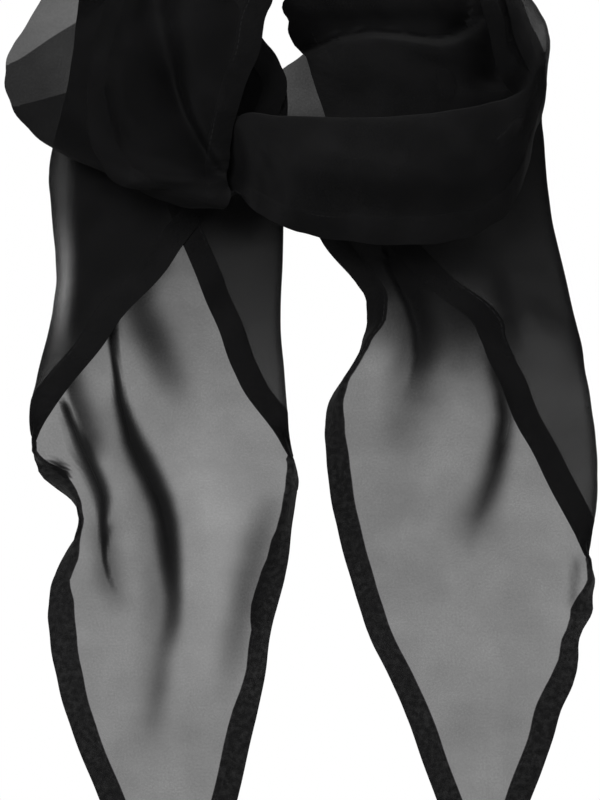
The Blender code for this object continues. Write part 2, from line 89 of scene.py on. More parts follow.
ring = {
    "innerRadius": 60,
    "outerRadius": 71,
    "halfHeight": 20,
    "seamAngle": 118,
    "nextAngle": 104,
    "swell": 1.5,
    "cast": (5, 40),  # in front of its centre, rows turn to the camera's rays from here, over this depth
}


def smooth(t):
    # 3t^2 - 2t^3 between 0 and 1, level outside
    t = np.clip(t, 0, 1)
    return t * t * (3 - 2 * t)


def rising(x, start, over):
    # the same from start on, over a length
    return smooth((x - start) / over)


def runLengths(line):
    # how far along a broken line each of its points is
    return np.concatenate([[0], np.cumsum(np.linalg.norm(np.diff(line, axis=0), axis=1))])


def unit(vectors):
    # each vector over its length
    return vectors / np.maximum(np.linalg.norm(vectors, axis=-1, keepdims=True), 1e-6)


def through(knots, values, at):
    # cubic through every column: a knot's slope weighs the rises beside it, and ends are parabolic
    knots = np.asarray(knots, float)
    values = np.asarray(values, float).reshape(len(knots), -1)
    steps = np.diff(knots)[:, None]
    rises = np.diff(values, axis=0) / steps
    slopes = np.vstack([rises[:1], rises])
    slopes[1:-1] = (rises[:-1] * steps[1:] + rises[1:] * steps[:-1]) / (steps[1:] + steps[:-1])
    slopes[0] = 2 * rises[0] - slopes[1]
    slopes[-1] = 2 * rises[-1] - slopes[-2]
    i = np.clip(np.searchsorted(knots, at, side="right") - 1, 0, len(knots) - 2)
    t = ((at - knots[i]) / steps[i, 0])[:, None]
    start = values[i] + t * steps[i] * slopes[i]
    end = values[i + 1] - (1 - t) * steps[i] * slopes[i + 1]
    return start + (end - start) * t * t * (3 - 2 * t)


def readTable(table, at):
    # every column of a table as that cubic, level outside its knots
    knots = [row[0] for row in table]
    return through(knots, [row[1:] for row in table], np.clip(at, knots[0], knots[-1]))


def readLevels(table, at):
    # every column of a table, straight from knot to knot
    table = np.asarray(table, float)
    return np.stack([np.interp(at, table[:, 0], column) for column in table[:, 1:].T], axis=-1)


def fromCamera(across, drop, depth):
    # a point of the outline plane moved along its ray to a depth: camera + reach * (point - camera)
    x0, y0, z0 = view["place"]
    reach = (depth - y0) / (view["outlinePlane"] - y0)
    return np.stack([x0 + (across - x0) * reach, depth + 0 * reach, z0 + (-drop - z0) * reach], axis=-1)


def asSeen(points):
    # the way back, as (across, drop): camera + (point - camera) / reach
    x0, y0, z0 = view["place"]
    reach = (points[..., 1] - y0) / (view["outlinePlane"] - y0)
    return np.stack([x0 + (points[..., 0] - x0) / reach, -z0 - (points[..., 2] - z0) / reach], axis=-1)


def onRing(angle, radius, height):
    # (-r sin, -r cos, height): 0 degrees is the front, and positive angles pass the left side
    turn = math.radians(angle)
    return [-radius * math.sin(turn), -radius * math.cos(turn), height]


def ringRow(angle, radius, start, end, *rest):
    # a row on a ring round the neck, from one height to another, swelling at its middle
    middle = onRing(angle, radius + ring["swell"], (start + end) / 2)
    return [*onRing(angle, radius, start), *middle, *onRing(angle, radius, end), *rest]


def seamRows(side, radius, *rest):
    # the two rows that meet the nape's bands: side is 1 at the left and -1 at the right
    half = side * ring["halfHeight"]
    return [ringRow(side * ring[key], radius, -half, half, *rest) for key in ("seamAngle", "nextAngle")]


# A row across a strand is edge a, middle and edge b in space (columns 0 to 8), the flaps turned in at a and b
# as parts of the width (9, 10), the cloth's density at a and b (11, 12), then each tuck's place across and
# how far it is drawn in (from 13).


def hangingRows(tail, drops):
    # the tables read at each drop, with both edges and the middle put on the camera's rays
    left, right = readTable(tail["left"], drops)[:, 0], readTable(tail["right"], drops)[:, 0]
    depth = readTable(tail["depth"], drops)
    width = right - left
    places = (left, (left + right) / 2, right)
    columns = [fromCamera(across, drops, depth[:, i]) for i, across in enumerate(places)]
    for edge in ("flapA", "flapB"):
        flap = np.zeros(len(drops))
        if tail[edge]:
            part = (readTable(tail[edge], drops)[:, 0] - left) / width
            part = np.clip(part if edge == "flapA" else 1 - part, 0, cloth["mostFlap"])
            flap = np.where(drops < tail[edge][-1][0], part, 0)
        columns.append(flap[:, None])
    columns.append(readLevels(tail["dense"], drops))
    for tuck in tail["tucks"]:
        place = readTable(tuck["line"], drops)
        part = np.clip((place[:, 0] - left) / width, *cloth["tuckReach"])
        columns += [part[:, None], np.maximum(place[:, 1:2], 0)]
    return np.hstack(columns)


def evenRows(rows, step):
    # the rows read again at even steps along the strand
    middle = (rows[:, 0:3] + rows[:, 3:6] + rows[:, 6:9]) / 3
    along = runLengths(middle)
    at = np.linspace(0, along[-1], round(along[-1] / step) + 1)
    return through(along, rows, at), at


def basePoint(rows, part):
    # parabola through a row's two edges and its middle, at each part of the width
    part = part[..., None]
    a, m, b = rows[:, None, 0:3], rows[:, None, 3:6], rows[:, None, 6:9]
    return a * (1 - part) * (1 - 2 * part) + m * 4 * part * (1 - part) + b * part * (2 * part - 1)


def flapSection(length, plies, bendColumns, runColumns):
    # half a circle, r (1 - sin) and r (1 - cos), then straight back over the main ply
    length = np.where(length < cloth["leastFlap"], 0, length)
    stack = 1 + (plies - 1) * rising(length, *cloth["stack"])
    radius = stack * smooth(length / cloth["flapBend"]) * cloth["plyStep"] / 2
    angles = math.pi * np.linspace(0, 1, bendColumns + 1)[None, 1:]
    inward = radius[:, None] * (1 - np.sin(angles))
    up = radius[:, None] * (1 - np.cos(angles))
    run = np.maximum(length - radius, 0)[:, None] * np.linspace(0, 1, runColumns + 1)[1:]
    inward = np.hstack([inward, inward[:, -1:] + run])
    up = np.hstack([up, np.repeat(up[:, -1:], runColumns, axis=1)])
    return radius, inward, up


def tuckSection(drawn, overlap, arcColumns=7, runColumns=5):
    # a Z of two arcs, r sin and r (1 - cos), and a straight: level at 0, upright half way, folded at 1
    radius = cloth["plyStep"] / 2
    turn = math.pi * smooth(drawn)[:, None]
    angles = turn * np.linspace(0, 1, arcColumns)
    arc = np.stack([radius * np.sin(angles), radius * (1 - np.cos(angles))], axis=-1)
    back = np.stack([np.cos(turn), np.sin(turn)], axis=-1) * (1 + overlap * drawn)[:, None, None]
    run = arc[:, -1:] + back * np.linspace(0, 1, runColumns + 1)[1:-1, None]
    shape = np.concatenate([arc, run, 2 * arc[:, -1:] + back - arc[:, ::-1]], axis=1)
    middle = (arc[:, -1:, 0] + shape[:, -arcColumns, 0][:, None]) / 2
    level = np.linspace(-0.5, 0.5, shape.shape[1]) * overlap[:, None]
    upright = np.minimum(drawn * cloth["tuckUpright"], 1)[:, None]
    return level + (shape[..., 0] - middle - level) * upright, shape[..., 1] * upright


def turnedHem(shown, room):
    # a hem bent back and then straight: r sin(turn) + run cos(turn) out from its inner edge, and
    # r (1 - cos(turn)) + run sin(turn) deep, at the turn that lets the width shown be seen
    def profile(turn, spots):
        radius = cloth["hemBend"] / turn
        bent = turn * np.minimum(spots / cloth["hemBend"], 1)
        run = np.maximum(spots - cloth["hemBend"], 0)
        return radius * np.sin(bent) + run * np.cos(turn), radius * (1 - np.cos(bent)) + run * np.sin(turn)

    turns = np.linspace(*cloth["hemTurns"])[::-1, None]
    widths = profile(turns, np.linspace(0, cloth["hemWidth"], cloth["hemSpots"]))[0].max(axis=1)
    turn = np.interp(shown, widths, turns[:, 0])[:, None]
    out, back = profile(turn, np.linspace(0, cloth["hemWidth"], cloth["hemColumns"]))
    shrink = np.minimum(1, room / out.max(axis=1))[:, None]
    return (out * shrink).max(axis=1), out * shrink, back * shrink


def mainSection(rows, strand, bare, shown, start, end):
    # columns of the main ply, spaced evenly between its ends, the hems' inner edges and each tuck
    last = strand["main"] - 1
    hemColumns = cloth["hemColumns"]
    columns = np.arange(strand["main"])
    third = (end - start) / 3  # the most a hem takes, and a tuck a third of that
    shownA, outA, backA = turnedHem(shown[0], third)
    shownB, outB, backB = turnedHem(shown[1], third)
    near, far = slice(0, hemColumns), slice(last - hemColumns + 1, last + 1)
    anchors = [(0, start), (near.stop - 1, start + shownA), (far.start, end - shownB), (last, end)]
    drawnIn = []
    for index, tuck in enumerate(strand["tucks"]):
        centre = start + (end - start) * rows[:, 13 + 2 * index]
        drawn = np.clip(rows[:, 14 + 2 * index], 0, 1)
        room = np.minimum(tuck["overlap"], third / 3)
        margin = cloth["tuckMargin"] * room
        centre = np.clip(centre, start + shownA + margin, end - shownB - margin)
        places, levels = tuckSection(drawn, room)
        final = tuck["first"] + places.shape[1] - 1
        anchors += [(tuck["first"], centre + places[:, 0]), (final, centre + places[:, -1])]
        drawnIn.append((tuck["first"], final, centre[:, None] + places, levels))
    anchors.sort(key=lambda anchor: anchor[0])
    across = np.zeros((len(start), strand["main"]))
    for (first, here), (final, there) in zip(anchors[:-1], anchors[1:]):
        part = (columns[first : final + 1] - first) / (final - first)
        across[:, first : final + 1] = here[:, None] + (there - here)[:, None] * part
    up = np.zeros_like(across)
    for first, final, places, levels in drawnIn:
        across[:, first : final + 1] = places
        # a tuck rises away from the flaps' side, and its rise dies away beside it
        lift = levels - (levels[:, -1:] if strand["side"] > 0 else 0)
        up[:, first : final + 1] += lift
        low, high = places.min(axis=1)[:, None], places.max(axis=1)[:, None]
        away = np.maximum(np.maximum(low - across, across - high), 0)
        ends = np.where(columns < first, lift[:, :1], lift[:, -1:])
        outside = (columns < first) | (columns > final)
        fall = np.exp(-np.maximum(away - cloth["tuckBeside"], 0) / cloth["tuckFall"])
        up += np.where(outside, ends * fall, 0)
    rolledA = (start + shownA)[:, None] - outA[:, ::-1]
    rolledB = (end - shownB)[:, None] + outB
    across[:, near] += (rolledA - across[:, near]) * bare[0][:, None]
    across[:, far] += (rolledB - across[:, far]) * bare[1][:, None]
    rolled = np.zeros_like(across)
    rolled[:, near] -= backA[:, ::-1] * bare[0][:, None]
    rolled[:, far] -= backB * bare[1][:, None]
    return across, up, rolled


def section(rows, strand):
    # a whole row in section: in from edge a, up, rolled back, and its ply (-1 and 1 are the flaps at a and b)
    width = np.linalg.norm(rows[:, 6:9] - rows[:, 0:3], axis=1)
    feet, flaps, bare, shown = [], [], [], []
    for index, edge in enumerate("AB"):
        length = rows[:, 9 + index] * width
        run = strand["run" + edge]
        foot, inward, up = flapSection(length, strand["plies" + edge], strand["bend"] if run else 0, run)
        feet.append(foot)
        flaps.append((inward, up * strand["side"]))
        bare.append(strand["hem" + edge] * (1 - smooth(length / cloth["bareUntil"])))
        drops = asSeen(rows[:, 6 * index : 6 * index + 3])[:, 1]
        table = strand.get("shown" + edge, ((0, cloth["hemWidth"]), (1, cloth["hemWidth"])))
        shown.append(readLevels(table, drops)[:, 0])
    start, end = feet[0], width - feet[1]
    across, up, rolled = mainSection(rows, strand, bare, shown, start, end)
    # the flaps stay joined to a hem that rolls back
    (inwardA, upA), (inwardB, upB) = flaps
    besideA = inwardA[:, ::-1] + (across[:, :1] - start[:, None])
    besideB = width[:, None] - inwardB + (across[:, -1:] - end[:, None])
    counts = [part.shape[1] for part in (besideA, across, besideB)]
    ply = np.tile(np.repeat((-1.0, 0.0, 1.0), counts), (len(rows), 1))
    rolled = np.pad(rolled, ((0, 0), (counts[0], counts[2])), mode="edge")
    return width, np.hstack([besideA, across, besideB]), np.hstack([upA[:, ::-1], up, upB]), rolled, ply


def alongLine(spots, line):
    # each spot's distance from a broken line, its side of it and how far along it lies
    line = np.asarray(line, float)
    runs, before = np.linalg.norm(np.diff(line, axis=0), axis=1), runLengths(line)
    nearest = np.full(spots.shape[:-1], np.inf)
    along, side = np.zeros_like(nearest), np.ones_like(nearest)
    for start, end, run, walked in zip(line[:-1], line[1:], runs, before):
        step = end - start
        t = np.clip(((spots - start) @ step) / run**2, 0, 1)
        off = spots - start - t[..., None] * step
        gap = np.linalg.norm(off, axis=-1)
        closer = gap < nearest
        along = np.where(closer, (walked + t * run) / before[-1], along)
        side = np.where(closer, np.sign(step[1] * off[..., 0] - step[0] * off[..., 1]), side)
        nearest = np.minimum(nearest, gap)
    return nearest, side, along


def sideOf(spots, line):
    # signed distance from a line drawn left to right: positive below it
    nearest, side, _ = alongLine(spots, line)
    return -nearest * side


def feed(node, inputs):
    # links sockets to a node's inputs, and puts numbers and colours on them
    for key, source in inputs.items():
        if isinstance(source, bpy.types.NodeSocket):
            node.id_data.links.new(source, node.inputs[key])
        else:
            node.inputs[key].default_value = source
    return node


def addNode(tree, kind, inputs={}, **settings):
    # a shader node with its settings and inputs
    node = tree.nodes.new("ShaderNode" + kind)
    for key, setting in settings.items():
        setattr(node, key, setting)
    return feed(node, inputs)


def newMaterial(name):
    material = bpy.data.materials.new(name)
    material.use_nodes = True
    return material, material.node_tree, material.node_tree.nodes["Principled BSDF"]


def addObject(name, data):
    made = bpy.data.objects.new(name, data)
    bpy.context.scene.collection.objects.link(made)
    return made


plainCrease = {
    "rise": 0, "hollow": 0, "gather": 0, "ply": None, "open": False, "lean": 1, "power": 2,
    "ends": (0.3, 0.3),  # parts of the line over which it tapers
}


def crease(**given):
    # rise lifts the cloth, hollow moves it back and gather makes it denser; lean widens the right-hand side,
    # open stays off what flaps cover, and the line is (across, drop) and the part of the width, if not all
    return {**plainCrease, **given}


def pleat(**given):
    # a crease of the main ply alone
    return crease(ply=0, **given)


def creaseRelief(spots, ply, covered, creases):
    # the sum of each crease's bell, exp(-(distance / width)^power), tapered at both ends
    relief, gathered, hollow = (np.zeros(spots.shape[:-1]) for _ in range(3))
    for each in creases:
        line = np.array([[*point, 1][:3] for point in each["line"]], float)
        nearest, side, along = alongLine(spots, line[:, :2])
        runs = runLengths(line[:, :2])
        width = each["width"] * np.interp(along, runs / runs[-1], line[:, 2])
        width = np.where(side > 0, width * each["lean"], width)
        bell = np.exp(-((nearest / width) ** each["power"]))
        for part, taper in zip((along, 1 - along), each["ends"]):
            bell = bell * (smooth(part / taper) if taper else 1)
        if each["ply"] is not None:
            bell = bell * (ply == each["ply"])
        if each["open"]:
            bell = bell * (1 - covered)
        relief += each["rise"] * bell
        hollow += each["hollow"] * bell
        gathered += each["gather"] * bell
    return relief, gathered, hollow


def ripple(u, v, waves):
    # a sum of slow waves across and along the cloth: height * sin(2 pi (u / a + v / b) + phase)
    rise = np.zeros_like(u)
    for height, acrossLength, alongLength, phase in waves:
        rise += height * np.sin(2 * math.pi * (u / acrossLength + v / alongLength) + phase)
    return rise


def hemDistance(rows, strand, points, width, u):
    # distance from the nearer long hem: the run across the cloth times the sine of its angle with the hem
    nearest = np.full(u.shape, cloth["far"])
    face = unit(rows[:, 6:9] - rows[:, 0:3])
    for end, distance, edge, part in (("A", u, 0, 9), ("B", u[:, -1:] - u, -1, 10)):
        if not strand["hem" + end]:
            continue
        run = unit(np.gradient(points[:, edge], axis=0))
        square = np.linalg.norm(np.cross(run, face), axis=1)
        blur = np.ones(cloth["hemRows"]) / cloth["hemRows"]
        square = np.convolve(np.pad(square, len(blur) // 2, mode="edge"), blur, mode="valid")
        started = asSeen(points[:, edge])[:, 1] >= strand.get("hemFrom" + end, -np.inf)
        distance = np.where(started[:, None], distance, cloth["far"])
        flap = rows[:, part] * width
        square = 1 + (square * cloth["flapHem"] - 1) * rising(flap, *cloth["flapHemFade"])
        nearest = np.minimum(nearest, distance * square[:, None])
    return nearest


def drapedSheet(rows, strand):
    # point = base + normal * (section's rise + relief) + the row's mean normal * roll, then the hollows
    rows, along = evenRows(np.asarray(rows, float), cloth["rowStep"])
    width, across, up, rolled, ply = section(rows, strand)
    part = across / width[:, None]
    base = basePoint(rows, part)
    ahead = basePoint(rows, part + cloth["ahead"]) - base
    # along the strand, from the row before to the row after
    onFace = np.clip(part, 0, 1)
    order = np.arange(len(rows))
    nextRows, lastRows = rows[np.minimum(order + 1, order[-1])], rows[np.maximum(order - 1, 0)]
    normal = unit(np.cross(basePoint(nextRows, onFace) - basePoint(lastRows, onFace), ahead))
    chords = np.hypot(np.diff(across, axis=1), np.diff(up + rolled, axis=1))
    u = np.hstack([np.zeros((len(rows), 1)), np.cumsum(chords, axis=1)])
    v = np.repeat(along[:, None], u.shape[1], axis=1)
    spots = asSeen(base) if strand["seenFromFront"] else np.stack([v, part * width[:, None]], axis=-1)
    # how far in each flap has passed a spot of the main ply
    passed = np.maximum(rows[:, 9:10] - part, part - 1 + rows[:, 10:11]) * width[:, None]
    covered = smooth(passed / cloth["coverFade"])
    relief, creased, hollow = creaseRelief(spots, ply, covered, strand["creases"])
    relief += ripple(u, v, strand["waves"])
    level = unit(normal.mean(axis=1, keepdims=True))
    points = base + normal * (up + relief)[..., None] + level * rolled[..., None]
    points[..., 1] += hollow
    dense = rows[:, 11:12] * (1 - onFace) + rows[:, 12:13] * onFace
    # more cloth lies along the eye's line at a folded edge
    for flap, inside in ((rows[:, 9:10], part), (rows[:, 10:11], 1 - part)):
        line = np.exp(-((inside * width[:, None] / cloth["foldWidth"]) ** 2))
        creased += cloth["foldShade"] * (smooth(flap * width[:, None] / cloth["foldFrom"]) * line)
    plies = {
        "u": u - u[:, -1:] / 2,
        "v": v,
        "fromHem": hemDistance(rows, strand, points, width, u),
        "thickness": np.maximum(dense + creased, cloth["leastDense"]),
    }
    for name in ("layerOne", "layerTwo"):
        plies[name] = np.full(u.shape, -cloth["far"])
        if name in strand:
            plies[name] = np.where(part < strand["layerPart"], sideOf(spots, strand[name]), -cloth["far"])
    return points, plies


def addStrand(name, rows, strand, material):
    # a grid of points, welded where columns meet and given its wall
    points, plies = drapedSheet(rows, strand)
    count, columns = points.shape[:2]
    corner = (np.arange(count - 1)[:, None] * columns + np.arange(columns - 1)).reshape(-1)
    faces = np.stack([corner, corner + 1, corner + columns + 1, corner + columns], axis=1)
    mesh = bpy.data.meshes.new(name + "Sheet")
    mesh.from_pydata((points.reshape(-1, 3) * mm).tolist(), [], faces.tolist())
    for key in ("fromHem", "layerOne", "layerTwo", "thickness"):
        scale = 1.0 if key == "thickness" else mm
        attribute = mesh.attributes.new(key, "FLOAT", "POINT")
        attribute.data.foreach_set("value", (plies[key].reshape(-1) * scale).astype(np.float32))
    flat = np.stack([plies["u"], plies["v"]], axis=-1).reshape(-1, 2) * mm
    uvs = mesh.uv_layers.new(name="cloth")
    uvs.data.foreach_set("uv", flat[faces.reshape(-1)].reshape(-1).astype(np.float32))
    work = bmesh.new()
    work.from_mesh(mesh)
    bmesh.ops.remove_doubles(work, verts=work.verts, dist=cloth["weld"] * mm)
    bmesh.ops.dissolve_degenerate(work, edges=work.edges, dist=cloth["leastEdge"] * mm)
    work.to_mesh(mesh)
    work.free()
    sheet = addObject(name + "Sheet", mesh)
    distances = np.zeros(len(mesh.vertices), np.float32)
    mesh.attributes["fromHem"].data.foreach_get("value", distances)
    group = sheet.vertex_groups.new(name="hem")
    group.add(np.flatnonzero(distances < cloth["hemWidth"] * mm).tolist(), 1.0, "REPLACE")
    wall = sheet.modifiers.new("wall", "SOLIDIFY")
    wall.thickness = cloth["hemWall"] * mm
    wall.offset = 0.0
    wall.vertex_group = "hem"
    wall.thickness_vertex_group = cloth["wall"] / cloth["hemWall"]
    solid = bpy.data.meshes.new_from_object(sheet.evaluated_get(bpy.context.evaluated_depsgraph_get()))
    bpy.data.objects.remove(sheet)
    solid.name = name + "Cloth"
    solid.shade_smooth()
    solid.set_sharp_from_angle(angle=math.radians(cloth["sharpAngle"]))
    solid.materials.clear()
    solid.materials.append(material)
    piece = addObject(name + "Cloth", solid)
    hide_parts(strand["node"])
    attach(piece, "root")
    triangles = sum(len(face.vertices) - 2 for face in solid.polygons)
    print(name, "rows", count, "columns", columns, "triangles", triangles)


chiffon = {
    "passed": 0.22,  # light that one ply lets through
    "colour": (0.0026, 0.0026, 0.0028, 1.0),
    "wornColour": (0.0046, 0.0045, 0.0048, 1.0),
    "wornFrom": (0.35, 0.7),
    "threadColour": (0.012, 0.012, 0.0125, 1.0),
    "threads": 0.00046,  # metres between two threads
    "noiseRoughness": 0.55,
    "crinkle": (1300.0, 2.0),  # scale and detail of each noise
    "cloud": (38.0, 3.0),
    "mottle": (420.0, 2.0),
    "wear": (22.0, 1.0),
    "mottleFrom": (0.3, 0.75),
    "wearFrom": (0.5, 0.6),
    "weaveShare": 0.07,  # how much each makes the cloth denser or thinner
    "crinkleShare": 0.3,
    "cloudShare": 0.4,
    "hemEdge": (0.0102, 0.0107),  # metres from the hem's outer edge
    "hemPlies": 1.8,
    "layers": (("layerOne", 0.75), ("layerTwo", 0.9)),  # plies that lie behind the left cowl
    "layerBlur": 0.0002,
    "stitch": 0.0026,
    "stitchLine": 0.0094,
    "stitchWidth": 0.00016,
    "stitchFrom": -0.55,  # a stitch runs while the sine along the hem is above this
    "weaveHeight": 0.35,
    "stitchHeight": 2.0,
    "hemHeight": 1.5,
    "bump": {"Strength": 0.35, "Distance": 0.0002},
    "finish": {"Roughness": 0.62, "Specular IOR Level": 0.05, "Sheen Weight": 0.02, "Sheen Roughness": 0.4},
}


def chiffonMaterial(name):
    # alpha = 1 - sqrt(passed) ^ (plies * thickness * (1 + uneven)), as each ply has two faces
    material, tree, shader = newMaterial(name)
    uv = addNode(tree, "UVMap", uv_map="cloth").outputs["UV"]
    across, along = addNode(tree, "SeparateXYZ", {"Vector": uv}).outputs[:2]

    def maths(operation, *sources, clamp=False):
        inputs = dict(enumerate(sources))
        return addNode(tree, "Math", inputs, operation=operation, use_clamp=clamp).outputs[0]

    def plus(first, second):
        return maths("ADD", first, second)

    def times(first, second):
        return maths("MULTIPLY", first, second)

    def wave(source, length):
        return maths("SINE", times(source, 2 * math.pi / length))

    def attribute(key):
        return addNode(tree, "Attribute", attribute_name=key).outputs["Fac"]

    def ramp(source, low, high):
        inputs = {"Value": source, "From Min": low, "From Max": high}
        return addNode(tree, "MapRange", inputs, interpolation_type="SMOOTHSTEP").outputs["Result"]

    def noise(key):
        scale, detail = chiffon[key]
        inputs = {"Vector": uv, "Scale": scale, "Detail": detail, "Roughness": chiffon["noiseRoughness"]}
        return addNode(tree, "TexNoise", inputs).outputs["Fac"]

    def mixed(first, second, factor):
        mix = addNode(tree, "Mix", data_type="RGBA")
        return feed(mix, {"A": first, "B": second, "Factor": factor}).outputs["Result"]

    # plain weave of crepe threads, thicker where two threads cross
    weave = plus(times(wave(across, chiffon["threads"]), 0.5), times(wave(along, chiffon["threads"]), 0.5))
    crinkle, cloudy = noise("crinkle"), noise("cloud")
    uneven = times(weave, chiffon["weaveShare"])
    for source, share in ((crinkle, "crinkleShare"), (cloudy, "cloudShare")):
        uneven = plus(uneven, times(maths("SUBTRACT", source, 0.5), chiffon[share]))

    # a double-turned hem is three plies, pressed unevenly
    fromHem = attribute("fromHem")
    hem = maths("SUBTRACT", 1.0, ramp(fromHem, *chiffon["hemEdge"]))
    mottled = ramp(noise("mottle"), *chiffon["mottleFrom"])
    plies = plus(1.0, times(hem, plus(chiffon["hemPlies"], mottled)))
    for key, more in chiffon["layers"]:
        plies = plus(plies, times(ramp(attribute(key), -chiffon["layerBlur"], chiffon["layerBlur"]), more))
    thick = times(times(plies, attribute("thickness")), plus(1.0, uneven))
    passed = maths("POWER", math.sqrt(chiffon["passed"]), thick)

    # stitches run just inside the hem's inner fold
    offLine = maths("ABSOLUTE", maths("SUBTRACT", fromHem, chiffon["stitchLine"]))
    dash = maths("GREATER_THAN", wave(along, chiffon["stitch"]), chiffon["stitchFrom"])
    stitch = times(maths("LESS_THAN", offLine, chiffon["stitchWidth"]), dash)
    stitch = times(ramp(noise("wear"), *chiffon["wearFrom"]), stitch)
    shade = mixed(chiffon["colour"], chiffon["wornColour"], ramp(cloudy, *chiffon["wornFrom"]))

    height = plus(plus(times(weave, chiffon["weaveHeight"]), crinkle), times(stitch, chiffon["stitchHeight"]))
    height = plus(height, times(hem, times(mottled, chiffon["hemHeight"])))
    feed(shader, {
        **chiffon["finish"],
        "Base Color": mixed(shade, chiffon["threadColour"], stitch),
        "Alpha": maths("SUBTRACT", 1.0, passed, clamp=True),
        "Normal": addNode(tree, "Bump", {**chiffon["bump"], "Height": height}).outputs["Normal"],
    })
    return material


# In a strand, main, bend, runA and runB count the columns of the main ply, each bend and the flaps, pliesA
# and pliesB are a flap's plies, and side is where the flaps lie. flat and area are the cut, in metres. A
# tuck's line is (drop, across, how far it is drawn in). seam is the side and flaps at the nape's bands, top
# the rows from there to the tables, and still the densities and tucks there.
plainStrand = {
    "tucks": (), "bend": 6, "runA": 0, "runB": 0, "pliesA": 1, "pliesB": 1, "side": 1,
    "hemA": True, "hemB": True, "seenFromFront": True, "restsOn": [],
}

